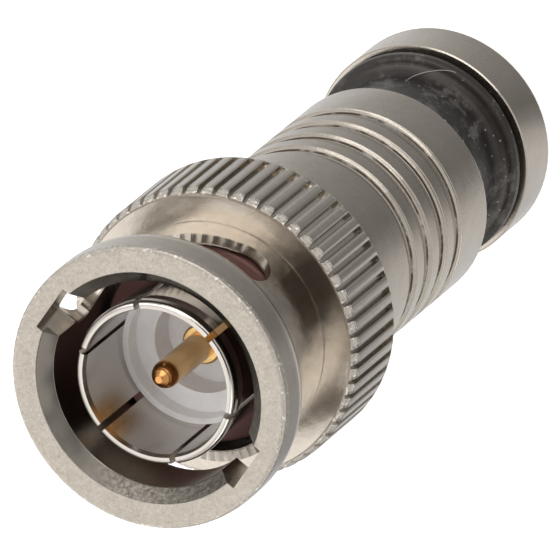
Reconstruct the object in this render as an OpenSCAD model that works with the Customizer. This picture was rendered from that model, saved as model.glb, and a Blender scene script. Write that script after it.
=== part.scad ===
// Compression-type BNC plug for coaxial cable, in millimetres, +Z up its axis.
// It stands on the rear face of its compression cap with the mating face up.
// Depths are measured back (down) from the mating face of the coupling sleeve.

/* [Plug] */
// Length from the rear face of the cap to the mating face
plug_len = 35.8; // [35:0.1:44]
// Sideways offset of the loose ferrule and cap, which sit off centre until pressed
cap_offset = 0.35; // [0:0.01:0.45]

/* [Coupling sleeve] */
// Diameter of the smooth front ring
ring_d = 14; // [13.6:0.1:14.4]
// Diameter over the knurl
knurl_d = 14.5; // [14.5:0.1:18]
// Number of knurl ribs
knurl_n = 57; // [36:1:64]
// Depth of a knurl groove
knurl_cut = 0.24; // [0.15:0.01:0.3]
// Turn of the whole knurl, degrees
knurl_turn = 1.93; // [0:0.01:6]
// Depth at which the knurled band starts
knurl_at = 7.65; // [7.4:0.05:8]
// Length of the whole sleeve
sleeve_len = 12.3; // [11.8:0.1:15]
// Diameter of the waist that the cam slots are cut in
waist_d = 11.3; // [11.2:0.1:11.8]
// Bore that slides over the jack
sleeve_bore = 10.24; // [10.2:0.01:10.3]
// Diameter of the lead-in at the mouth of the bore
mouth_d = 11.54; // [11:0.02:11.8]
// Depth of the lead-in
mouth_len = 0.65; // [0.3:0.05:1]
// Thickness of the inner lip at the rear of the sleeve
lip_len = 1.1; // [0.8:0.1:1.4]

/* [Bayonet cams] */
// Width of the two entry notches for the lugs
notch_w = 2.5; // [2.3:0.1:2.7]
// Distance from the axis to the flat floor of a notch
notch_r = 6; // [5.9:0.05:6.2]
// Width of a cam slot
cam_w = 2.6; // [2.4:0.05:2.7]
// Turn from an entry notch to the seat of the lug, degrees
cam_turn = 85; // [80:1:92]
// Depth of the slot's centre at its notch
cam_in = 3.4; // [3.3:0.05:3.6]
// Depth of the slot's centre at the lug's seat
cam_seat = 5.3; // [5.1:0.05:5.5]
// Direction of the first entry notch, degrees from +X
notch_dir = 103; // [0:1:180]

/* [Contact and pin] */
// Outer diameter of the spring-finger contact
contact_d = 7.84; // [7.8:0.02:7.9]
// Wall of the spring fingers
contact_wall = 0.32; // [0.28:0.02:0.36]
// Diameter over the bead at the finger tips
bead_d = 8.1; // [8:0.02:8.2]
// Depth of the finger tips
contact_at = 0.75; // [0.6:0.05:1]
// Number of slits between fingers
finger_n = 6; // [4:1:8]
// Width of a slit
slit_w = 0.32; // [0.25:0.01:0.5]
// Diameter of the centre pin
pin_d = 1.35; // [1.3:0.01:1.4]
// Depth of the pin's tip
pin_at = 1.22; // [1:0.05:1.6]
// Diameter of the collar at the root of the pin
collar_d = 2; // [1.8:0.05:2.3]
// Depth of the collar's face
collar_at = 6.2; // [5.8:0.1:7]

/* [Barrel] */
// Outer diameter of the barrel
barrel_d = 10.9; // [10.8:0.1:13]
// Depth of the barrel's rear edge
barrel_end = 27.7; // [27.4:0.1:31]
// Wall round the cable space
barrel_wall = 0.5; // [0.4:0.05:0.5]
// Number of round grooves in the barrel
groove_n = 4; // [2:1:4]
// Depth of the first groove's centre
groove_at = 18.75; // [18:0.05:19.5]
// Spacing of the grooves
groove_pitch = 1.8; // [1.5:0.05:1.9]
// Radius of a groove's section
groove_r = 0.6; // [0.5:0.05:0.8]

/* [Compression end] */
// Outer diameter of the cap
cap_d = 10.96; // [10.9:0.02:13.2]
// Length of the cap
cap_len = 2.8; // [2.7:0.05:3.2]
// How far the ferrule's flange stays inside the barrel's outline, on the radius
flange_inset = 0.2; // [0.1:0.01:0.25]
// Play of the ferrule's neck in the barrel before it is pressed, on the radius
neck_play = 0.6; // [0.5:0.05:0.7]
// Bore that the cable goes through
cable_d = 7.6; // [7.5:0.05:7.7]
// Length of the neck that already sits inside the barrel
nose_in = 2.7; // [2:0.1:3]
// Outer diameter of the inner post's tube
post_d = 5.5; // [5.3:0.1:5.6]
// Bore of the post, for the cable's dielectric
post_bore = 4.8; // [4.7:0.05:4.9]

/* [Hidden] */
$fn = 96;
e = 0.01;

run_gap = 0.05;          // between the sleeve's lip and the neck it turns on
neck_r = 4.45;           // plug body, where the sleeve turns
lip_r = neck_r + run_gap;
contact_bore = contact_d / 2 - contact_wall;
gasket_at = 6.4;
body_at = 7.75;          // front face of the plug body
clip_at = 8;             // retaining ring in its groove
clip_len = 0.6;
clip_r = neck_r - 0.25;
washer_t = 0.3;
washer_r = sleeve_bore / 2 - 0.17;
lip_at = sleeve_len - lip_len;
rear_washer_at = lip_at - washer_t;
wave_at = clip_at + clip_len + washer_t;
wave_h = (rear_washer_at - wave_at) / 2;
barrel_at = sleeve_len + 0.05;
step_at = barrel_at + 3.65;   // shoulder in the barrel behind the plug body
barrel_bore = barrel_d - 2 * barrel_wall;
socket_end = 10.2;       // floor of the contact's socket in the plug body
core_r = 3;              // bore behind that floor
seal_w = 0.4;
post_end = barrel_end - nose_in - 0.2;   // just ahead of the ferrule's neck
cap_at = plug_len - cap_len;
cap_bore = cap_d - 0.96;
cap_lip = 0.8;
entry_r = cable_d / 2 + 0.35;
neck = barrel_bore / 2 - neck_play;      // radius of the ferrule's neck
flange = barrel_d / 2 - flange_inset;    // radius of its flange, a stop on the barrel's edge
pin_back = 15;           // rear end of the centre pin

// Points of an arc round [r, depth], from angle a0 to a1
function arc(c, r, a0, a1, n = 8) =
    [for (i = [0:n]) let (a = a0 + (a1 - a0) * i / n) c + r * [cos(a), sin(a)]];

// Solid of revolution from an outline of [radius, depth] points
module turned(outline) {
    rotate_extrude() polygon([for (p = outline) [p[0], plug_len - p[1]]]);
}

// Plain ring between two depths
module ring(r_in, r_out, from, to) {
    turned([[r_in, from], [r_out, from], [r_out, to], [r_in, to]]);
}

// Ring of round section, such as an O-ring, in one plane
module o_ring(r_mid, depth, d) {
    translate([0, 0, plug_len - depth]) rotate_extrude() translate([r_mid, 0]) circle(d = d, $fn = 32);
}

// Copies round the axis
module around(n, start = 0) {
    for (i = [0:n - 1]) rotate([0, 0, start + 360 * i / n]) children();
}

// Radial cutter, as an end mill at one place on the sleeve
module mill(angle, depth, d) {
    rotate([0, 0, angle]) translate([4.6, 0, plug_len - depth]) rotate([0, 90, 0])
        cylinder(d = d, h = ring_d / 2 + 0.3 - 4.6, $fn = 48);
}

// Straight knurl: grooves with sloping sides that stop just short of the rear edge
module knurl_grooves() {
    r = knurl_d / 2;
    w = 0.42 * PI * knurl_d / knurl_n;
    translate([0, 0, plug_len - sleeve_len + 0.15])
        linear_extrude(sleeve_len - knurl_at - 0.15 + e)
            around(knurl_n, knurl_turn)
                polygon([[r - knurl_cut, -w / 4], [r + 0.2, -w * 0.62],
                         [r + 0.2, w * 0.62], [r - knurl_cut, w / 4]]);
}

// One bayonet track: a notch from the mating face, then the helical slot
module cam_track() {
    steps = 16;
    rotate([0, 0, notch_dir]) translate([0, -notch_w / 2, plug_len - cam_in - cam_w / 3])
        cube([notch_r, notch_w, cam_in + cam_w]);
    for (i = [0:steps - 1])
        mill(notch_dir - cam_turn * i / steps, cam_in + (cam_seat - cam_in) * i / steps,
             i == 0 ? cam_w + 0.3 : cam_w);
    mill(notch_dir - cam_turn, cam_seat, cam_w + 0.12);
}

module coupling_sleeve() {
    ring_r = ring_d / 2;
    waist_r = waist_d / 2;
    swell = 2;                    // radius of the ring's rounded back
    fillet = 0.8;
    back = [ring_r - swell, 1.5];
    foot = ring_r - swell * (1 - cos(45)) - waist_r - fillet * (1 - cos(45));
    hollow = [waist_r + fillet, back[1] + swell * sin(45) + foot + fillet * sin(45)];
    outline = concat(
        [[mouth_d / 2, 0], [ring_r - 0.12, 0], [ring_r - 0.03, 0.12], [ring_r, 0.38]],
        arc(back, swell, 0, 45),
        arc(hollow, fillet, 225, 180),
        [[waist_r, knurl_at], [knurl_d / 2 - 0.2, knurl_at],
         [knurl_d / 2, knurl_at + 0.4], [knurl_d / 2, sleeve_len - 0.06],
         [knurl_d / 2 - 0.1, sleeve_len], [lip_r + 0.15, sleeve_len],
         [lip_r, sleeve_len - 0.15], [lip_r, lip_at],
         [sleeve_bore / 2, lip_at], [sleeve_bore / 2, mouth_len]]);
    color("silver") difference() {
        turned(outline);
        knurl_grooves();
        around(2) cam_track();
    }
}

module outer_contact() {
    r = contact_d / 2;
    bead = bead_d / 2;
    color("gainsboro") difference() {
        turned(concat(
            [[contact_bore + 0.1, contact_at]],
            arc([bead - 0.22, contact_at + 0.22], 0.22, -90, 0, 5),
            [[bead, contact_at + 0.5], [r, contact_at + 1.3], [r, socket_end],
             [contact_bore, socket_end], [contact_bore, contact_at + 0.25]]));
        around(finger_n) translate([0, -slit_w / 2, plug_len - gasket_at + 0.2])
            cube([bead + 1, slit_w, gasket_at]);
    }
}

module front_insulator() {
    rim = contact_bore;
    color("white") turned([
        [rim, 5.2], [rim - 0.15, 5.2], [rim - 0.25, 5.3], [rim - 0.25, collar_at],
        [2.4, collar_at], [2.4, collar_at + 1.6], [collar_d / 2, collar_at + 1.6],
        [collar_d / 2, 9.7], [1.52, 9.7], [1.52, socket_end], [rim, socket_end]]);
}

module centre_pin() {
    r = pin_d / 2;
    nose = 0.95;                  // length of the tapered tip
    color("goldenrod") difference() {
        turned(concat(
            [[0, pin_at], [0.17, pin_at], [0.24, pin_at + 0.06]],
            arc([r - 1.1, pin_at + nose], 1.1, -48, 0, 6),
            [[r, collar_at], [collar_d / 2 - 0.1, collar_at], [collar_d / 2, collar_at + 0.1],
             [collar_d / 2, 9.7], [1.5, 9.7], [1.5, socket_end],
             [1.15, socket_end], [1.15, pin_back], [0, pin_back]]));
        ring(0, 0.85, 11, pin_back + 1);
    }
}

module pin_clip() {
    color("goldenrod") difference() {
        turned([[0.62, 11.1], [0.85, 11.1], [0.85, 14.8], [0.7, 14.8], [0.5, 13.4], [0.5, 12]]);
        around(4, 45) translate([0, -0.1, plug_len - 16]) cube([2, 0.2, 4]);
    }
}

module rear_insulator() {
    color("whitesmoke") turned([
        [1.15, socket_end], [core_r, socket_end], [core_r, 15.6], [1.7, 15.6],
        [0.65, pin_back], [1.15, pin_back]]);
}

module insulator_ring() {
    color("silver") turned([[2.2, 15.6], [core_r, 15.6], [core_r, step_at],
                            [2.35, step_at], [2.2, step_at - 0.15]]);
}

module face_gasket() {
    color("#6b3a37") turned([
        [contact_d / 2, gasket_at], [4.82, gasket_at], [4.92, gasket_at + 0.1],
        [4.92, body_at], [contact_d / 2, body_at]]);
}

module plug_body() {
    seal_at = barrel_at + 1.6;
    color("silver") difference() {
        turned([
            [contact_d / 2, body_at], [neck_r, body_at], [neck_r, clip_at],
            [clip_r, clip_at], [clip_r, clip_at + clip_len], [neck_r, clip_at + clip_len],
            [neck_r, step_at], [core_r, step_at], [core_r, socket_end],
            [contact_d / 2, socket_end]]);
        ring(neck_r - seal_w, neck_r + 1, seal_at, seal_at + 0.6);
    }
}

module retaining_ring() {
    color("darkgray") difference() {
        ring(clip_r, neck_r + 0.42, clip_at, clip_at + clip_len);
        rotate([0, 0, 200]) translate([0, -0.6, 0]) cube([10, 1.2, plug_len]);
    }
}

module front_washer() {
    color("silver") ring(lip_r, washer_r, wave_at - washer_t, wave_at);
}

// Washer bent into three waves that fill the height h below the given depth
module wave_washer(from, h) {
    n = 72;
    t = 0.2;
    mid = plug_len - from - h / 2;
    rise = h / 2 - t / 2;
    pts = [for (i = [0:n - 1], c = [[lip_r, -1], [washer_r, -1], [washer_r, 1], [lip_r, 1]])
        let (a = 360 * i / n) [c[0] * cos(a), c[0] * sin(a), mid + rise * sin(3 * a) + c[1] * t / 2]];
    faces = [for (i = [0:n - 1], k = [0:3]) let (j = (i + 1) % n, m = (k + 1) % 4)
        [4 * i + k, 4 * i + m, 4 * j + m, 4 * j + k]];
    polyhedron(pts, faces);
}

module wave_washer_front() {
    color("lightsteelblue") wave_washer(wave_at, wave_h);
}

module wave_washer_rear() {
    color("lightsteelblue") wave_washer(wave_at + wave_h, wave_h);
}

module rear_washer() {
    color("silver") ring(lip_r, washer_r, rear_washer_at, lip_at);
}

module body_seal() {
    color("dimgray") o_ring(neck_r - seal_w / 2, barrel_at + 1.9, seal_w);
}

// Flanged tube that slides under the cable's braid, with barbs at its end
module inner_post() {
    r = post_d / 2;
    barb = 0.25;
    color("silver") difference() {
        turned([
            [post_bore / 2, step_at], [barrel_bore / 2, step_at], [barrel_bore / 2, step_at + 1.2],
            [r + 0.5, step_at + 1.2], [r, step_at + 1.7], [r, post_end - 2.6],
            [r + barb, post_end - 2.6], [r, post_end - 1.3], [r + barb, post_end - 1.3],
            [r - 0.15, post_end], [post_bore / 2, post_end]]);
        ring(barrel_bore / 2 - seal_w, barrel_bore / 2 + 1, step_at + 0.35, step_at + 0.85);
    }
}

module post_seal() {
    color("dimgray") o_ring(barrel_bore / 2 - seal_w / 2, step_at + 0.6, seal_w);
}

module barrel() {
    r = barrel_d / 2;
    bore = barrel_bore / 2;
    sink = 0.27;                  // how deep a groove goes
    color("silver") rotate_extrude() difference() {
        polygon([for (p = concat(
            [[neck_r, barrel_at], [r - 0.3, barrel_at], [r, barrel_at + 0.3]],
            arc([r - 0.15, barrel_end - 0.15], 0.15, 0, 90, 4),
            [[bore + 0.1, barrel_end], [bore, barrel_end - 0.15], [bore, step_at],
             [neck_r, step_at]])) [p[0], plug_len - p[1]]]);
        for (i = [0:groove_n - 1])
            translate([r - sink + groove_r, plug_len - groove_at - i * groove_pitch])
                circle(r = groove_r, $fn = 48);
    }
}

// Plastic ferrule: a neck in the barrel, a flared flange, and a tail in the cap
module compression_ferrule() {
    tail = cap_bore / 2;
    flare = flange - 0.25 - neck;
    flange_at = cap_at - 0.8;
    color("#333230") translate([0, cap_offset, 0]) turned(concat(
        [[cable_d / 2, barrel_end - nose_in], [neck - 0.4, barrel_end - nose_in],
         [neck, barrel_end - nose_in + 0.8]],
        arc([neck + flare, flange_at - 0.05 - flare], flare, 180, 90, 10),
        arc([flange - 0.25, flange_at + 0.2], 0.25, -90, 0, 4),
        [[flange, flange_at + 0.45], [tail, cap_at - 0.1], [tail, plug_len - cap_lip],
         [entry_r + 0.4, plug_len - cap_lip], [entry_r + 0.4, cap_at + 0.5],
         [cable_d / 2, cap_at + 0.5]]));
}

module compression_cap() {
    r = cap_d / 2;
    color("silver") translate([0, cap_offset, 0]) turned(concat(
        [[cap_bore / 2, cap_at + 0.1], [cap_bore / 2 + 0.1, cap_at], [r - 0.06, cap_at],
         [r, cap_at + 0.06]],
        arc([r - 0.25, plug_len - 0.25], 0.25, 0, 90, 5),
        [[entry_r + 0.15, plug_len], [entry_r, plug_len - 0.15],
         [entry_r, plug_len - cap_lip], [cap_bore / 2, plug_len - cap_lip]]));
}

module cable_seal() {
    lip = cable_d / 2 - 0.2;      // grips the cable's jacket
    color("dimgray") translate([0, cap_offset, 0]) turned([
        [lip + 0.3, cap_at + 0.5], [entry_r + 0.4, cap_at + 0.5],
        [entry_r + 0.4, plug_len - cap_lip], [lip + 0.3, plug_len - cap_lip],
        [lip, plug_len - cap_lip - 0.3], [lip, cap_at + 0.8]]);
}

coupling_sleeve();
outer_contact();
front_insulator();
centre_pin();
pin_clip();
rear_insulator();
insulator_ring();
face_gasket();
plug_body();
retaining_ring();
front_washer();
wave_washer_front();
wave_washer_rear();
rear_washer();
body_seal();
inner_post();
post_seal();
barrel();
compression_ferrule();
compression_cap();
cable_seal();
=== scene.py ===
"""Finishes, studio and camera for a compression-type BNC plug, laid out as an add-on."""
import math

import bpy
from mathutils import Matrix, Vector


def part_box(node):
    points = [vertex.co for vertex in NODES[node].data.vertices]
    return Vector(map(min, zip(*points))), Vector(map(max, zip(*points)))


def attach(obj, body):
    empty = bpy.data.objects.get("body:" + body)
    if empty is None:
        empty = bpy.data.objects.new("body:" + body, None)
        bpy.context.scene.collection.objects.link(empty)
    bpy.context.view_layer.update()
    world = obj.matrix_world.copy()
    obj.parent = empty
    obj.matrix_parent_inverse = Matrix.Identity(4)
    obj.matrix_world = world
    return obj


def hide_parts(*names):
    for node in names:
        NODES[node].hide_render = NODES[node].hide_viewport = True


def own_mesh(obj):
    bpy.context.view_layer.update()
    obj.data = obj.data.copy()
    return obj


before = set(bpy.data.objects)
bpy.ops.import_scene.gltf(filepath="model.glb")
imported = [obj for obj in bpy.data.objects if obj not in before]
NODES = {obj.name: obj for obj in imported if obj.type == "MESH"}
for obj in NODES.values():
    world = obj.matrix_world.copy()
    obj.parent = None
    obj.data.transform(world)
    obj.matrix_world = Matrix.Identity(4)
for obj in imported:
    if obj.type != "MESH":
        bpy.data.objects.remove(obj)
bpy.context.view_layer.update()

bl_info = {
    "name": "BNC Plug Finishes",
    "version": (1, 0, 0),
    "blender": (4, 5, 0),
    "location": "View3D > Sidebar > Plug",
    "description": "Finishes the pieces of a compression-type BNC plug and sets its studio",
    "category": "Object",
}

MM = 0.001                                              # a millimetre in metres
TOP = float(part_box("coupling_sleeve")[1][2]) / MM       # height of the mating face, mm

# Edges of the areas that the finishes follow, in mm: depths below the mating face, and radii.
# Those of the sleeve come first.
MOUTH_R, MOUTH_DEPTH = 5.8, 0.64                        # bounds of the bevel round its mouth
BORE_R = 5.2                                            # just outside the sleeve's bore
RIM_R = 6.8                                             # just inside the front ring's outer edge
WAIST_AT = 2.6                                          # just ahead of the sleeve's waist
KNURL_AT, KNURL_END = 7.65, 12.3
KNURL_FLOOR_R = 6.9                                     # just inside the floors of its grooves
KNURL_RIBS = 57
KNURL_TURN = math.radians(1.93)                         # turn of the whole knurl
CONTACT_INNER_R = 3.5                                   # painted light pales the contact's plate inside this radius
GROOVES = [18.75 + 1.8 * n for n in range(4)]           # middles of the barrel's round grooves
PIN_TIP = 2.3                                           # the pin is browner, and darker with painted shade, above this depth
DUSTY_FROM, DUSTY_TO = 3.6, 8.9                         # heights on the ferrule with most dust

# Tones that the finishes blend in
DULL_FACE = (0.10, 0.09, 0.08)
# painted sheen on the knurl
KNURL_SHEEN = (0.85, 0.81, 0.74)
# painted glints on the sleeve's edges
PAINTED_EDGE_GLINT = (0.95, 0.92, 0.86)
# painted light in the contact's bore
BORE_PAINTED_LIGHT = (0.91, 0.87, 0.86)
# painted shade on the contact's lip
LIP_SHADE = (0.08, 0.07, 0.06)
# painted shade lines in the barrel's grooves, patchy like grime
GROOVE_SHADE_AND_GRIME = (0.055, 0.038, 0.026)
# painted glints on the barrel
PAINTED_BARREL_GLINT = (0.85, 0.82, 0.76)
SCUFF = (0.16, 0.15, 0.145)
RUBBED = (0.20, 0.185, 0.175)
DUST = (0.42, 0.40, 0.38)
LINT = (0.66, 0.64, 0.61)
BRASS = (0.42, 0.30, 0.13)
RUDDY_TINT = (1.0, 0.93, 0.88)


# --- shader expressions ------------------------------------------------------------------------

def math_node(operation, reflected=False):
    """An operator method that adds a Math node, with its sides changed round if reflected."""
    def method(self, other):
        sides = (other, self) if reflected else (self, other)
        return self.graph.math(operation, *sides)
    return method


class Value:
    """A number socket that Python's operators turn into Math nodes."""

    __add__ = math_node("ADD")
    __radd__ = math_node("ADD", reflected=True)
    __sub__ = math_node("SUBTRACT")
    __rsub__ = math_node("SUBTRACT", reflected=True)
    __mul__ = math_node("MULTIPLY")
    __rmul__ = math_node("MULTIPLY", reflected=True)

    def __init__(self, graph, socket):
        self.graph, self.socket = graph, socket

    def __neg__(self):
        return self * -1.0


def scaled(colour, factor):
    """The colour made paler or darker, never past white."""
    return tuple(min(1.0, c * factor) for c in colour[:3])


def swing(value, amount):
    """A value between 0 and 1 as a swing about nothing."""
    return (value - 0.5) * amount


class Graph:
    """Builds the nodes of one material or world."""

    def __init__(self, tree):
        self.tree = tree
        tree.nodes.clear()

    def node(self, kind, settings=None, **inputs):
        """Adds a node, applies its settings, then feeds its sockets.

        A socket is given by its name, with _ for a space, or as i and its place.
        """
        made = self.tree.nodes.new(kind)
        for key, value in (settings or {}).items():
            if key == "stops":
                self.grey_stops(made.color_ramp, value)
            else:
                setattr(made, key, value)
        for key, value in inputs.items():
            by_place = key[0] == "i" and key[1:].isdigit()
            self.feed(made.inputs[int(key[1:]) if by_place else key.replace("_", " ")], value)
        return made

    def feed(self, socket, value):
        """Links a value to a socket, or sets the socket to a number or colour."""
        if isinstance(value, Value):
            value = value.socket
        if isinstance(value, bpy.types.NodeSocket):
            self.tree.links.new(value, socket)
        elif socket.type == "RGBA":
            socket.default_value = (*value[:3], 1.0)
        else:
            socket.default_value = value

    def grey_stops(self, ramp, stops):
        """Gives a ramp its stops, each a place and a grey."""
        while len(ramp.elements) < len(stops):
            ramp.elements.new(0.5)
        for element, (place, grey) in zip(ramp.elements, stops):
            element.position = place
            element.color = (grey, grey, grey, 1.0)

    def math(self, operation, *values, clamp=False):
        sockets = {f"i{n}": value for n, value in enumerate(values)}
        made = self.node("ShaderNodeMath", {"operation": operation, "use_clamp": clamp}, **sockets)
        return Value(self, made.outputs[0])

    def step(self, value, low, high):
        """0 below low, 1 above high, smooth between."""
        made = self.node("ShaderNodeMapRange", {"interpolation_type": "SMOOTHSTEP", "clamp": True},
                         Value=value, From_Min=low, From_Max=high)
        return Value(self, made.outputs["Result"])

    def below(self, value, low, high):
        """1 below low, 0 above high, smooth between."""
        return 1.0 - self.step(value, low, high)

    def band(self, value, low, high, soft):
        """1 between low and high, 0 outside."""
        return self.step(value, low - soft, low + soft) * self.below(value, high - soft, high + soft)

    def mix(self, factor, first, second):
        """Blends two colours."""
        return self.node("ShaderNodeMix", {"data_type": "RGBA"}, i0=factor, i6=first, i7=second).outputs[2]

    def shade(self, colour, tone, spread):
        """The colour, darker or paler by at most spread as the tone swings about nothing."""
        factor = self.math("ADD", tone, 0.5, clamp=True)
        return self.mix(factor, scaled(colour, 1.0 - spread), scaled(colour, 1.0 + spread))

    def point(self):
        """The surface point from the plug's foot, in mm, as a vector socket."""
        at = self.node("ShaderNodeTexCoord").outputs["Object"]
        return self.node("ShaderNodeVectorMath", {"operation": "SCALE"}, i0=at, Scale=1.0 / MM).outputs[0]

    def axes(self, at):
        """A vector's x, y and z."""
        return [Value(self, part) for part in self.node("ShaderNodeSeparateXYZ", i0=at).outputs]

    def radius(self, x, y):
        """Distance from the plug's axis."""
        return self.math("SQRT", x * x + y * y)

    def azimuth(self, x, y):
        """Angle round the plug's axis from +X, in radians."""
        return self.math("ARCTAN2", y, x)

    def noise(self, at, scale, detail, rough):
        """Noise between 0 and 1 over the surface."""
        made = self.node("ShaderNodeTexNoise", {"noise_dimensions": "3D"},
                         Vector=at, Scale=scale, Detail=detail, Roughness=rough)
        return Value(self, made.outputs["Fac"])

    def lines(self, along, pitch, detail):
        """Fine irregular lines across one coordinate, such as a lathe leaves, with their pitch in mm."""
        made = self.node("ShaderNodeTexNoise", {"noise_dimensions": "1D"},
                         W=along * (1.0 / pitch), Scale=1.0, Detail=detail, Roughness=0.6)
        return Value(self, made.outputs["Fac"])

    def specks(self, at, scale, size):
        """Round specks scattered over the surface, 1 on a speck."""
        cells = self.node("ShaderNodeTexVoronoi", {"feature": "F1"}, Vector=at, Scale=scale)
        return self.below(Value(self, cells.outputs["Distance"]), size, size + 0.05)

    def glints(self, at, scale, few):
        """Scattered ragged glints, 1 on a glint; the nearer few is to 1, the fewer there are."""
        return self.step(self.noise(at, scale, 2.0, 0.5), few, few + 0.04)

    def bump(self, height, strength, rise, over=None):
        """The normal of a relief that rises by at most rise mm, laid over another one."""
        made = self.node("ShaderNodeBump", Height=height, Strength=strength, Distance=rise * MM)
        if over is not None:
            self.feed(made.inputs["Normal"], over)
        return made.outputs["Normal"]

    def surface(self, **inputs):
        """Ends a material in a Principled surface."""
        shader = self.node("ShaderNodeBsdfPrincipled", **inputs)
        self.node("ShaderNodeOutputMaterial", Surface=shader.outputs[0])

    def glow(self, colour):
        """Ends a material in a surface that shows only the light that it gives off."""
        self.surface(Base_Color=(0.0, 0.0, 0.0), Roughness=1.0, Specular_IOR_Level=0.0,
                     Emission_Color=colour, Emission_Strength=1.0)

    def seen(self):
        """1 for rays from the camera or by way of a mirror or glass, 0 for scattered light."""
        rays = self.node("ShaderNodeLightPath").outputs
        camera, mirrored, through = [Value(self, rays[f"Is {kind} Ray"])
                                     for kind in ("Camera", "Glossy", "Transmission")]
        return self.math("MAXIMUM", self.math("MAXIMUM", camera, mirrored), through)


def new_material(name):
    """A material, and the graph that builds its nodes."""
    material = bpy.data.materials.new(name)
    material.use_nodes = True
    return material, Graph(material.node_tree)


def dress(material, *names):
    """Puts a material on every slot of the named CAD nodes."""
    for name in names:
        for slot in NODES[name].material_slots:
            slot.material = material


# --- finishes ------------------------------------------------------------------------------------

def nickel(name, colour, rough, pitch, turn=0.5, grain=0.3, stain=0.2):
    """Nickel plate over turned brass: fine turning lines, plating grain and faint stains."""
    material, g = new_material(name)
    at = g.point()
    z = g.axes(at)[2]
    fine = g.lines(z, pitch, 3.0)
    grains = g.noise(at, 14.0, 3.0, 0.6)
    stains = g.noise(at, 0.9, 3.0, 0.55)
    tone = swing(fine, 0.5 * turn) + swing(grains, 0.45 * grain) + swing(stains, 0.5 * stain)
    normal = g.bump(fine, 0.10 * turn, 0.02)
    normal = g.bump(grains, 0.16 * grain, 0.02, normal)
    g.surface(Base_Color=g.shade(colour, tone, 0.28), Metallic=1.0,
              Roughness=rough + swing(grains, 0.16 * grain) + swing(fine, 0.2 * turn), Normal=normal)
    return material


def spring_plate(name):
    """Dark spring steel, as on the retaining ring and the wave washers."""
    return nickel(name, scaled(finish().steel, 0.85), rough=0.26, pitch=0.1, turn=0.1, grain=0.5, stain=0.3)


def sleeve_nickel(colour):
    """The sleeve's plate: grainy front face, painted shade in the bore and in ragged patches on the mouth's
    bevel, painted glints on the edges, a painted sheen on the round ribs and a polished waist.
    """
    material, g = new_material("sleeve_nickel")
    at = g.point()
    x, y, z = g.axes(at)
    r = g.radius(x, y)
    depth = TOP - z
    face = g.below(depth, 0.01, 0.05)
    behind_face = 1.0 - face
    inside = g.below(r, BORE_R - 0.05, BORE_R)
    outside = 1.0 - inside
    bevel = g.band(depth, 0.02, MOUTH_DEPTH, 0.02) * g.below(r, MOUTH_R - 0.04, MOUTH_R)
    rim = g.step(r, RIM_R, RIM_R + 0.06) * g.below(depth, 0.3, 0.45)
    waist = g.band(depth, WAIST_AT, KNURL_AT + 0.03, 0.2) * outside
    knurl = g.band(depth, KNURL_AT + 0.05, KNURL_END - 0.03, 0.03) * \
        g.step(r, KNURL_FLOOR_R, KNURL_FLOOR_R + 0.08)
    front = g.band(depth, KNURL_AT - 0.02, KNURL_AT + 0.35, 0.05) * \
        g.step(r, KNURL_FLOOR_R, KNURL_FLOOR_R + 0.1)
    rear = g.band(depth, KNURL_END - 0.40, KNURL_END - 0.02, 0.05) * outside
    minus_y = g.step(-y, 0.5, 3.5)

    grains = g.noise(at, 7.0, 5.0, 0.8)
    coarse = g.noise(at, 1.6, 3.0, 0.6)
    fine = g.lines(depth, 0.06, 3.0)
    pits = g.step(g.noise(at, 4.5, 4.0, 0.7), 0.42, 0.62)
    worn = g.step(g.noise(at, 0.33, 2.0, 0.5), 0.40, 0.62)
    edges = g.math("MAXIMUM", rim * 0.7, g.math("MAXIMUM", front, rear * 0.9))
    painted_glints = g.glints(at, 5.0, 0.60) * edges

    tone = swing(grains, 0.45 + face * 2.2) + swing(coarse, 0.3 + face * 0.3) + \
        swing(fine, 0.25 * behind_face)
    base = g.shade(colour, tone, 0.34)
    base = g.mix(face * 0.25, base, scaled(colour, 1.1))
    base = g.mix(face * 0.20, base, DULL_FACE)
    # painted sheen pales the knurl's ribs
    base = g.mix(knurl * 0.12, base, KNURL_SHEEN)
    # painted shade darkens the plate inside the bore, behind the front face
    base = g.mix(inside * behind_face * 0.45, base, scaled(colour, 0.55))
    # painted shade darkens the bevel round the mouth, in ragged patches, pitted on the -Y side
    bevel_shade_and_wear = 0.60 + worn * 0.35 * (1.0 - minus_y) + minus_y * pits * 0.28
    base = g.mix(bevel * bevel_shade_and_wear, base, scaled(colour, 0.22))
    # painted glints on the edges of the rim and the knurl
    base = g.mix(painted_glints * 0.6, base, PAINTED_EDGE_GLINT)
    roughness = 0.19 + face * 0.15 + swing(grains, 0.10 + face * 0.3) + swing(fine, 0.08) - waist * 0.05

    rib = g.math("COSINE", g.azimuth(x, y) * float(KNURL_RIBS) - KNURL_TURN * KNURL_RIBS)
    crown = g.below(rib, -0.75, 0.75) + (0.5 - rib * 0.5) * 0.5
    normal = g.bump(crown * knurl, 1.0, 0.07)
    normal = g.bump(g.noise(at, 0.4, 2.0, 0.5) * waist, 0.3, 0.3, normal)
    normal = g.bump(fine * behind_face, 0.12, 0.02, normal)
    ragged = 0.25 + face * 1.1 + rim * 1.2 + front * 2.0 + bevel * minus_y * 1.5
    normal = g.bump(grains * ragged, 0.4, 0.05, normal)
    g.surface(Base_Color=base, Metallic=1.0, Roughness=roughness, Normal=normal)
    return material


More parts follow.
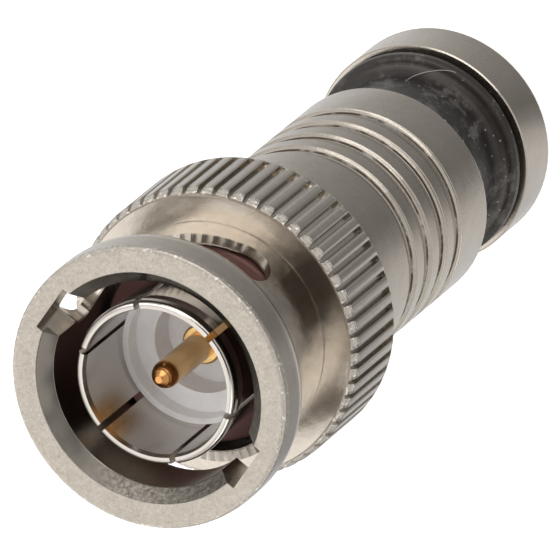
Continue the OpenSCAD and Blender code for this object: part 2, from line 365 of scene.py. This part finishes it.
def contact_nickel(colour):
    """The slitted contact's plate: bright outside, paler with painted light and duller in the bore, darker on
    the lip with painted shade.
    """
    material, g = new_material("contact_nickel")
    at = g.point()
    x, y, z = g.axes(at)
    bore = g.below(g.radius(x, y), CONTACT_INNER_R, CONTACT_INNER_R + 0.12) * g.below(z, TOP - 0.9, TOP - 0.5)
    lip = g.step(z, TOP - 0.5, TOP - 0.4)
    fine = g.lines(z, 0.08, 3.0)
    grains = g.noise(at, 14.0, 3.0, 0.6)
    stains = g.noise(at, 0.9, 3.0, 0.55)
    base = g.shade(colour, swing(fine, 0.2) + swing(grains, 0.25) + swing(stains, 0.2), 0.28)
    # painted light pales the bore
    base = g.mix(bore * 0.8, base, BORE_PAINTED_LIGHT)
    # painted shade darkens the lip
    base = g.mix(lip * 0.42, base, LIP_SHADE)
    normal = g.bump(grains, 0.1, 0.02, g.bump(fine, 0.06, 0.02))
    g.surface(Base_Color=base, Metallic=1.0, Roughness=0.17 + bore * 0.16 + swing(grains, 0.1), Normal=normal)
    return material


def barrel_nickel(name, colour, grooves=()):
    """Turned barrel plate with a few painted glints, and, in any round grooves, painted shade lines patchy
    like grime and turning lines.
    """
    material, g = new_material(name)
    at = g.point()
    depth = TOP - g.axes(at)[2]
    fine = g.lines(depth, 0.05, 3.0)
    grains = g.noise(at, 9.0, 5.0, 0.8)
    stains = g.noise(at, 0.7, 3.0, 0.55)
    base = g.shade(colour, swing(fine, 0.3) + swing(grains, 0.9) + swing(stains, 0.35), 0.3)
    normal = g.bump(g.noise(at, 0.5, 2.0, 0.5), 0.35, 0.12)
    normal = g.bump(fine, 0.12, 0.02, normal)
    if grooves:
        # painted shade lines along the edges of each groove, patchy like grime
        lines = sum(g.band(depth, middle - 0.50, middle - 0.38, 0.02) +
                    g.band(depth, middle + 0.24, middle + 0.35, 0.02) for middle in grooves)
        patchy = g.step(g.noise(at, 0.8, 3.0, 0.6), 0.34, 0.52)
        base = g.mix(g.math("ADD", lines * (0.25 + patchy * 0.7), 0.0, clamp=True), base, GROOVE_SHADE_AND_GRIME)
        hollow = sum(g.band(depth, middle - 0.5, middle + 0.5, 0.02) for middle in grooves)
        normal = g.bump(g.lines(depth, 0.16, 2.0) * hollow, 0.5, 0.05, normal)
    # painted glints scattered over the plate
    base = g.mix(g.glints(at, 3.4, 0.80) * 0.7, base, PAINTED_BARREL_GLINT)
    normal = g.bump(grains, 0.2, 0.03, normal)
    g.surface(Base_Color=base, Metallic=1.0, Roughness=0.2 + swing(grains, 0.10) + swing(fine, 0.10),
              Normal=normal)
    return material


def gold(name, colour):
    """Gold plate with fine turning lines, browner at the pin's tip, where painted shade also darkens it."""
    material, g = new_material(name)
    at = g.point()
    z = g.axes(at)[2]
    grains = g.noise(at, 10.0, 3.0, 0.6)
    fine = g.lines(z, 0.06, 2.0)
    base = g.mix(grains, scaled(colour, 0.8), scaled(colour, 1.15))
    tip = g.step(z, TOP - PIN_TIP, TOP - PIN_TIP + 0.4)
    red, green, blue = colour[:3]
    # the tip is browner, and painted shade darkens it
    base = g.mix(tip * 0.75, base, (red * 0.78, green * 0.52, blue * 0.35))
    g.surface(Base_Color=base, Metallic=1.0, Roughness=0.24 + swing(fine, 0.14),
              Normal=g.bump(fine, 0.12, 0.02))
    return material


def bead_plastic(colour):
    """Moulded plastic of the rear insulator, with a faint mottle."""
    material, g = new_material("bead_white")
    at = g.point()
    cloud = g.noise(at, 0.8, 3.0, 0.55)
    grains = g.noise(at, 9.0, 3.0, 0.6)
    g.surface(Base_Color=g.shade(colour, swing(cloud, 0.15) + swing(grains, 0.06), 0.3),
              Roughness=0.5 + swing(grains, 0.2), Specular_IOR_Level=0.4, Normal=g.bump(grains, 0.15, 0.03))
    return material


def dusty_plastic(colour):
    """The ferrule's brown-black plastic, with clouds of scuffs, pale dust and fine turned lines."""
    material, g = new_material("ferrule_black")
    at = g.point()
    z = g.axes(at)[2]
    cloud = g.noise(at, 0.55, 4.0, 0.62)
    scuff = g.noise(at, 1.8, 5.0, 0.7)
    fine = g.noise(at, 12.0, 3.0, 0.6)
    rings = g.lines(z, 0.10, 1.0)
    dusty = g.mix(cloud, scaled(colour, 0.6), scaled(colour, 1.6))
    dusty = g.mix(g.step(cloud, 0.50, 0.66) * g.step(scuff, 0.42, 0.62) * 0.5, dusty, SCUFF)
    near = g.band(z, DUSTY_FROM, DUSTY_TO, 0.5)
    dusty = g.mix(near * g.step(scuff, 0.44, 0.60) * g.step(cloud, 0.44, 0.56) * 0.35, dusty, RUBBED)
    dusty = g.mix(g.specks(at, 2.1, 0.07) * 0.8, dusty, DUST)
    g.surface(Base_Color=dusty, Roughness=0.36 + swing(scuff, 0.3), Specular_IOR_Level=0.40,
              Specular_Tint=RUDDY_TINT, Normal=g.bump(fine, 0.2, 0.03, g.bump(rings, 0.25, 0.03)))
    return material


def cup_plastic(colour):
    """Pale insulator plastic with a soft, slightly uneven moulded surface."""
    material, g = new_material("insulator_white")
    at = g.point()
    cloud = g.noise(at, 0.5, 3.0, 0.55)
    grains = g.noise(at, 5.0, 4.0, 0.6)
    red, green, blue = colour[:3]
    shaded = (red * 0.80, green * 0.78, blue * 0.77)
    tone = g.math("ADD", swing(cloud, 0.9) + swing(grains, 0.3), 0.5, clamp=True)
    uneven = g.bump(g.noise(at, 0.9, 3.0, 0.6), 0.6, 0.25)
    g.surface(Base_Color=g.mix(tone, shaded, scaled(colour, 1.12)), Roughness=0.34 + swing(grains, 0.2),
              Specular_IOR_Level=0.5, Normal=g.bump(grains, 0.25, 0.05, uneven))
    return material


def rubber(name, colour):
    """Matt rubber with a fine grain."""
    material, g = new_material(name)
    grains = g.noise(g.point(), 8.0, 4.0, 0.65)
    g.surface(Base_Color=g.mix(grains, scaled(colour, 0.7), scaled(colour, 1.4)),
              Roughness=0.62 + swing(grains, 0.2), Normal=g.bump(grains, 0.3, 0.04))
    return material


def lint():
    """Pale lint of the stray fibre."""
    material, g = new_material("fibre_lint")
    grains = g.noise(g.point(), 6.0, 2.0, 0.5)
    g.surface(Base_Color=g.mix(grains, DUST, LINT), Roughness=0.5 + grains * 0.2)
    return material


# --- user's sizes and colours --------------------------------------------------------------------

def colour_prop(name, description, default):
    """A colour that a user may change."""
    return bpy.props.FloatVectorProperty(name=name, description=description, default=default,
                                         subtype="COLOR", size=3, min=0.0, max=1.0)


def radiance_prop(name, description, default):
    """A light's radiance that a user may change."""
    return bpy.props.FloatProperty(name=name, description=description, default=default, min=0.0)


class PlugFinish(bpy.types.PropertyGroup):
    """Colours of the plug's finishes."""
    nickel: colour_prop("Nickel", "Nickel plate on the sleeve and body", (0.41, 0.37, 0.32))
    contact: colour_prop("Contact plate", "Brighter plate on the outer contact", (0.42, 0.39, 0.355))
    barrel: colour_prop("Barrel nickel", "Nickel plate on the barrel and cap", (0.40, 0.36, 0.31))
    gold: colour_prop("Gold", "Gold plate on the centre pin", (0.62, 0.40, 0.17))
    insulator: colour_prop("Insulator", "White insulator in the contact", (0.94, 0.93, 0.95))
    gasket: colour_prop("Gasket", "Rubber ring behind the contact", (0.14, 0.06, 0.05))
    ferrule: colour_prop("Ferrule", "Plastic ferrule at the cable end", (0.022, 0.019, 0.017))
    rubber: colour_prop("Seals", "Rubber seals inside", (0.03, 0.028, 0.027))
    steel: colour_prop("Steel", "Washers and spring washers", (0.42, 0.41, 0.40))


class PlugStudio(bpy.types.PropertyGroup):
    """The studio round the plug."""
    floor_size: bpy.props.FloatProperty(name="Floor", description="Width of the floor", default=3.0,
                                        min=0.5, unit="LENGTH")
    side: radiance_prop("Side light", "Radiance of the broad softbox on the +Y side", 2.7)
    key: radiance_prop("Key light", "Radiance of the softbox on the -Y side", 2.0)
    face: radiance_prop("Face light", "Radiance of the softbox that the front face mirrors", 0.95)
    low: radiance_prop("Low light", "Radiance of the low strip that edges mirror", 3.5)
    overhead: radiance_prop("Overhead light", "Radiance of the softbox straight above", 2.4)
    floor: colour_prop("Floor colour", "Pale floor", (0.8, 0.8, 0.8))


def finish():
    """The plug's colours, as a user has set them."""
    return bpy.context.scene.plug_finish


# --- operators -----------------------------------------------------------------------------------

class PLUG_OT_sleeve(bpy.types.Operator):
    """Finish the bayonet coupling sleeve"""
    bl_idname, bl_label = "plug.sleeve", "Coupling sleeve"

    def execute(self, context):
        dress(sleeve_nickel(finish().nickel), "coupling_sleeve")
        return {"FINISHED"}


class PLUG_OT_contact(bpy.types.Operator):
    """Finish the slitted outer contact"""
    bl_idname, bl_label = "plug.contact", "Outer contact"

    def execute(self, context):
        dress(contact_nickel(finish().contact), "outer_contact")
        return {"FINISHED"}


class PLUG_OT_insulators(bpy.types.Operator):
    """Finish the front and rear insulators"""
    bl_idname, bl_label = "plug.insulators", "Insulators"

    def execute(self, context):
        dress(cup_plastic(finish().insulator), "front_insulator")
        dress(bead_plastic(finish().insulator), "rear_insulator")
        return {"FINISHED"}


class PLUG_OT_pin(bpy.types.Operator):
    """Finish the centre pin and the clip inside it"""
    bl_idname, bl_label = "plug.pin", "Centre pin"

    def execute(self, context):
        dress(gold("pin_gold", finish().gold), "centre_pin")
        dress(gold("clip_gold", scaled(finish().gold, 0.85)), "pin_clip")
        return {"FINISHED"}


class PLUG_OT_body(bpy.types.Operator):
    """Finish the plug's body, insulator ring and inner post"""
    bl_idname, bl_label = "plug.body", "Body and post"

    def execute(self, context):
        dress(nickel("body_nickel", finish().nickel, rough=0.24, pitch=0.06), "plug_body")
        dress(nickel("post_nickel", finish().nickel, rough=0.26, pitch=0.07, turn=0.6), "inner_post")
        dress(nickel("ring_brass", BRASS, rough=0.3, pitch=0.07), "insulator_ring")
        return {"FINISHED"}


class PLUG_OT_washers(bpy.types.Operator):
    """Finish the flat washers and the retaining ring"""
    bl_idname, bl_label = "plug.washers", "Washers"

    def execute(self, context):
        steel = nickel("washer_steel", finish().steel, rough=0.3, pitch=0.1, turn=0.1, grain=0.6)
        dress(steel, "front_washer", "rear_washer")
        dress(spring_plate("ring_steel"), "retaining_ring")
        return {"FINISHED"}


# the two wave washers, in order from the one that bears on the front washer
SPRINGS = {"wave_washer_front": "front_wave_spring", "wave_washer_rear": "rear_wave_spring"}
SPRING_EDGE = 0.03                                      # easing of a wave washer's edges, mm
SPRING_WELD = 0.001                                     # points nearer than this are one, mm
SPRING_CREASE = math.radians(40)                        # edges sharper than this are eased


class PLUG_OT_springs(bpy.types.Operator):
    """Make the wave washers with eased edges"""
    bl_idname, bl_label = "plug.springs", "Wave washers"

    def execute(self, context):
        steel = spring_plate("spring_steel")
        for node, name in SPRINGS.items():
            made = bpy.data.objects.new(name, NODES[node].data.copy())
            context.scene.collection.objects.link(made)
            bpy.ops.object.select_all(action="DESELECT")
            made.select_set(True)
            context.view_layer.objects.active = made
            bpy.ops.object.mode_set(mode="EDIT")
            bpy.ops.mesh.select_all(action="SELECT")
            bpy.ops.mesh.remove_doubles(threshold=SPRING_WELD * MM)
            bpy.ops.object.mode_set(mode="OBJECT")
            eased = made.modifiers.new("eased", "BEVEL")
            eased.width, eased.segments = SPRING_EDGE * MM, 2
            eased.limit_method, eased.angle_limit = "ANGLE", SPRING_CREASE
            bpy.ops.object.modifier_apply(modifier=eased.name)
            bpy.ops.object.shade_smooth_by_angle(angle=SPRING_CREASE)
            made.data.materials.clear()
            made.data.materials.append(steel)
            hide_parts(node)
            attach(made, "plug")
            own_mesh(made)
        return {"FINISHED"}


class PLUG_OT_seals(bpy.types.Operator):
    """Finish the face gasket and the rubber seals"""
    bl_idname, bl_label = "plug.seals", "Gasket and seals"

    def execute(self, context):
        dress(rubber("gasket_red", finish().gasket), "face_gasket")
        dress(rubber("seal_rubber", finish().rubber), "body_seal", "post_seal")
        dress(rubber("cable_seal_rubber", finish().rubber), "cable_seal")
        return {"FINISHED"}


class PLUG_OT_barrel(bpy.types.Operator):
    """Finish the grooved barrel and the compression cap"""
    bl_idname, bl_label = "plug.barrel", "Barrel and cap"

    def execute(self, context):
        dress(barrel_nickel("barrel_nickel", finish().barrel, GROOVES), "barrel")
        dress(barrel_nickel("cap_nickel", finish().barrel), "compression_cap")
        return {"FINISHED"}


class PLUG_OT_ferrule(bpy.types.Operator):
    """Finish the black compression ferrule"""
    bl_idname, bl_label = "plug.ferrule", "Compression ferrule"

    def execute(self, context):
        dress(dusty_plastic(finish().ferrule), "compression_ferrule")
        return {"FINISHED"}


# a stray fibre from the ferrule's neck over its flange, in mm, and half its thickness
FIBRE = ((3.05, 3.48, 4.82), (3.09, 3.50, 4.50), (3.26, 3.44, 4.16), (3.45, 3.34, 3.95), (3.63, 3.24, 3.83),
         (3.81, 3.14, 3.76), (4.00, 3.02, 3.72), (4.18, 2.92, 3.70), (4.37, 2.79, 3.69), (4.54, 2.64, 3.67),
         (4.71, 2.46, 3.64), (4.82, 2.28, 3.62))
FIBRE_RADIUS = 0.016


class PLUG_OT_fibre(bpy.types.Operator):
    """Lay the stray fibre on the ferrule"""
    bl_idname, bl_label = "plug.fibre", "Stray fibre"

    def execute(self, context):
        route = [Vector(point) * MM for point in FIBRE]
        onward = (route[-1] - route[0]).to_track_quat("Z", "Y")
        bpy.ops.object.select_all(action="DESELECT")
        bpy.ops.mesh.primitive_circle_add(vertices=6, radius=FIBRE_RADIUS * MM, fill_type="NGON",
                                          location=route[0], rotation=onward.to_euler())
        made = context.object
        made.name = "neck_fibre"
        bpy.ops.object.mode_set(mode="EDIT")
        bpy.ops.mesh.select_all(action="SELECT")
        for here, there in zip(route, route[1:]):
            bpy.ops.mesh.extrude_region_move(TRANSFORM_OT_translate={"value": there - here})
        bpy.ops.mesh.select_all(action="SELECT")
        bpy.ops.mesh.normals_make_consistent(inside=False)
        bpy.ops.object.mode_set(mode="OBJECT")
        bpy.ops.object.transform_apply(location=True, rotation=True, scale=True)
        made.data.materials.append(lint())
        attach(made, "compression")
        return {"FINISHED"}


# --- stage ---------------------------------------------------------------------------------------

# where the camera stands and how it is turned, in degrees and metres, and its lens in mm
VIEW_AZIMUTH, VIEW_ELEVATION, VIEW_ROLL = 0.0, 58.8955, 129.5019
VIEW_DISTANCE = 1.20863
VIEW_TARGET = Vector((0.0, 0.0, 0.020342))
LENS, SENSOR = 1645.55, 36.0

LIGHT_DISTANCE = 0.6                                    # metres
LIGHT_TARGET = Vector((0.0, 0.0, 0.018))
# each softbox: the studio's name for its radiance, its azimuth and elevation in degrees,
# and its width and height in metres
SOFTBOXES = {
    "side_softbox": ("side", 85, 56, 0.52, 0.28),
    "key_softbox": ("key", -105, 50, 0.34, 0.34),
    "face_softbox": ("face", 180, 59, 0.30, 0.30),
    "low_softbox": ("low", 32, 27, 0.62, 0.10),
    "overhead_softbox": ("overhead", 0, 89.9, 0.26, 0.26),
}

FLOOR_GLOW = 0.7
WORLD_GREY = (0.35, 0.35, 0.35)                         # the world's light on dull surfaces
WHITE = (1.0, 1.0, 1.0)
BLACK = (0.0, 0.0, 0.0)

# greys of the card on the floor by azimuth, in degrees
FLOOR_GREYS = ((-180, 0.86), (-125, 0.82), (-95, 0.95), (-68, 0.98), (-50, 0.80), (-36, 0.44), (-20, 0.30),
               (0, 0.36), (20, 0.42), (50, 0.53), (86, 0.74), (120, 0.88), (160, 0.9))
FLOOR_CARD_SIZE, FLOOR_CARD_HEIGHT = 0.12, 0.0002       # metres
FLAG_TONE = (0.12, 0.11, 0.10)
FLAG_SIZE, FLAG_DISTANCE = 0.2, 0.3                     # metres
FLAG_AZIMUTH, FLAG_ELEVATION = -24.0, 59.0
FLAG_TARGET = Vector((0.0, 0.0, 0.02))


def heading(azimuth, elevation):
    """Unit vector at an azimuth from +X and an elevation, in degrees."""
    a, e = math.radians(azimuth), math.radians(elevation)
    return Vector((math.cos(a) * math.cos(e), math.sin(a) * math.cos(e), math.sin(e)))


def lay_floor(size, colour):
    """A pale floor that camera and reflections see brighter than the light on it makes it."""
    bpy.ops.object.select_all(action="DESELECT")
    bpy.ops.mesh.primitive_plane_add(size=size, location=(0, 0, 0))
    floor = bpy.context.object
    floor.name = "floor"
    material, g = new_material("floor_paint")
    paint = g.node("ShaderNodeBsdfDiffuse", Color=colour)
    glow = g.node("ShaderNodeEmission", Color=WHITE, Strength=g.seen() * FLOOR_GLOW)
    both = g.node("ShaderNodeAddShader", i0=paint.outputs[0], i1=glow.outputs[0])
    g.node("ShaderNodeOutputMaterial", Surface=both.outputs[0])
    floor.data.materials.append(material)


def set_world(scene):
    """A grey world that camera and reflections see as white."""
    scene.world = bpy.data.worlds.new("studio")
    scene.world.use_nodes = True
    g = Graph(scene.world.node_tree)
    back = g.node("ShaderNodeBackground", Color=g.mix(g.seen(), WORLD_GREY, WHITE), Strength=1.0)
    g.node("ShaderNodeOutputWorld", Surface=back.outputs[0])


def softbox(name, radiance, azimuth, elevation, width, height):
    """An area light that faces the plug, set by its radiance."""
    light = bpy.data.lights.new(name, "AREA")
    light.shape = "RECTANGLE"
    light.size, light.size_y = width, height
    light.energy = radiance * math.pi * width * height
    lamp = bpy.data.objects.new(name, light)
    bpy.context.scene.collection.objects.link(lamp)
    towards = heading(azimuth, elevation)
    lamp.location = LIGHT_TARGET + towards * LIGHT_DISTANCE
    lamp.rotation_euler = towards.to_track_quat("Z", "Y").to_euler()


def card(name, material, **where):
    """A flat card that only reflections see."""
    bpy.ops.object.select_all(action="DESELECT")
    bpy.ops.mesh.primitive_plane_add(**where)
    made = bpy.context.object
    made.name = name
    made.data.materials.append(material)
    made.visible_camera = made.visible_diffuse = made.visible_shadow = made.visible_transmission = False


def floor_card_paint():
    """Greys that the plug's flanks mirror, by azimuth from +X.

    Near the plug they crowd towards +X, and past 22 mm the -Y side is dimmer.
    """
    material, g = new_material("graded_card")
    x, y = g.axes(g.point())[:2]
    reach, way = g.radius(x, y), g.azimuth(x, y)
    crowding = 1.0 + 0.7 * g.below(reach, 6.5, 10.5)
    turn = g.math("ADD", way * crowding * (1.0 / math.tau), 0.5, clamp=True)
    stops = [((azimuth + 180) / 360, grey) for azimuth, grey in FLOOR_GREYS]
    ramp = g.node("ShaderNodeValToRGB", {"stops": stops}, Fac=turn)
    outer = g.step(reach, 17.0, 22.0) * g.band(way, -2.3, -0.8, 0.3)
    g.glow(g.mix(outer * 0.48, ramp.outputs[0], BLACK))
    return material


def flag_card_paint():
    """Near-black, for dark streaks on the metal."""
    material, g = new_material("dark_card")
    g.glow(FLAG_TONE)
    return material


def set_camera(scene):
    """A long lens, rolled so that the plug lies aslant in the frame."""
    camera = bpy.data.objects.new("camera", bpy.data.cameras.new("camera"))
    scene.collection.objects.link(camera)
    camera.data.sensor_width, camera.data.lens = SENSOR, LENS
    camera.data.clip_start, camera.data.clip_end = 0.1, 10.0
    back = heading(VIEW_AZIMUTH, VIEW_ELEVATION)
    level = Vector((0.0, 0.0, 1.0)).cross(back).normalized()
    turn = Matrix((level, back.cross(level), back)).transposed().to_4x4()
    roll = Matrix.Rotation(math.radians(-VIEW_ROLL), 4, "Z")
    camera.matrix_world = Matrix.Translation(VIEW_TARGET + back * VIEW_DISTANCE) @ turn @ roll
    scene.camera = camera


class PLUG_OT_stage(bpy.types.Operator):
    """Set the floor, the lights, the world and the camera"""
    bl_idname, bl_label = "plug.stage", "Stage and camera"

    def execute(self, context):
        studio = context.scene.plug_studio
        context.scene.view_settings.view_transform = "Standard"
        lay_floor(studio.floor_size, studio.floor)
        set_world(context.scene)
        for name, (setting, *place) in SOFTBOXES.items():
            softbox(name, getattr(studio, setting), *place)
        card("floor_card", floor_card_paint(), size=FLOOR_CARD_SIZE, location=(0, 0, FLOOR_CARD_HEIGHT))
        towards = heading(FLAG_AZIMUTH, FLAG_ELEVATION)
        card("flag_card", flag_card_paint(), size=FLAG_SIZE,
             location=FLAG_TARGET + towards * FLAG_DISTANCE,
             rotation=towards.to_track_quat("Z", "Y").to_euler())
        set_camera(context.scene)
        return {"FINISHED"}


OPERATORS = (PLUG_OT_sleeve, PLUG_OT_contact, PLUG_OT_insulators, PLUG_OT_pin, PLUG_OT_body,
             PLUG_OT_washers, PLUG_OT_springs, PLUG_OT_seals, PLUG_OT_barrel, PLUG_OT_ferrule, PLUG_OT_fibre,
             PLUG_OT_stage)


class PLUG_PT_panel(bpy.types.Panel):
    """Lists the plug's operators"""
    bl_idname, bl_label = "PLUG_PT_panel", "BNC plug"
    bl_space_type, bl_region_type, bl_category = "VIEW_3D", "UI", "Plug"

    def draw(self, context):
        for operator in OPERATORS:
            self.layout.operator(operator.bl_idname)


CLASSES = (PlugFinish, PlugStudio, *OPERATORS, PLUG_PT_panel)


def register():
    for cls in CLASSES:
        bpy.utils.register_class(cls)
    bpy.types.Scene.plug_finish = bpy.props.PointerProperty(type=PlugFinish)
    bpy.types.Scene.plug_studio = bpy.props.PointerProperty(type=PlugStudio)


def unregister():
    del bpy.types.Scene.plug_finish
    del bpy.types.Scene.plug_studio
    for cls in reversed(CLASSES):
        bpy.utils.unregister_class(cls)


def main():
    register()
    for operator in OPERATORS:
        getattr(bpy.ops.plug, operator.bl_idname.removeprefix("plug."))()


if __name__ == "__main__":
    main()
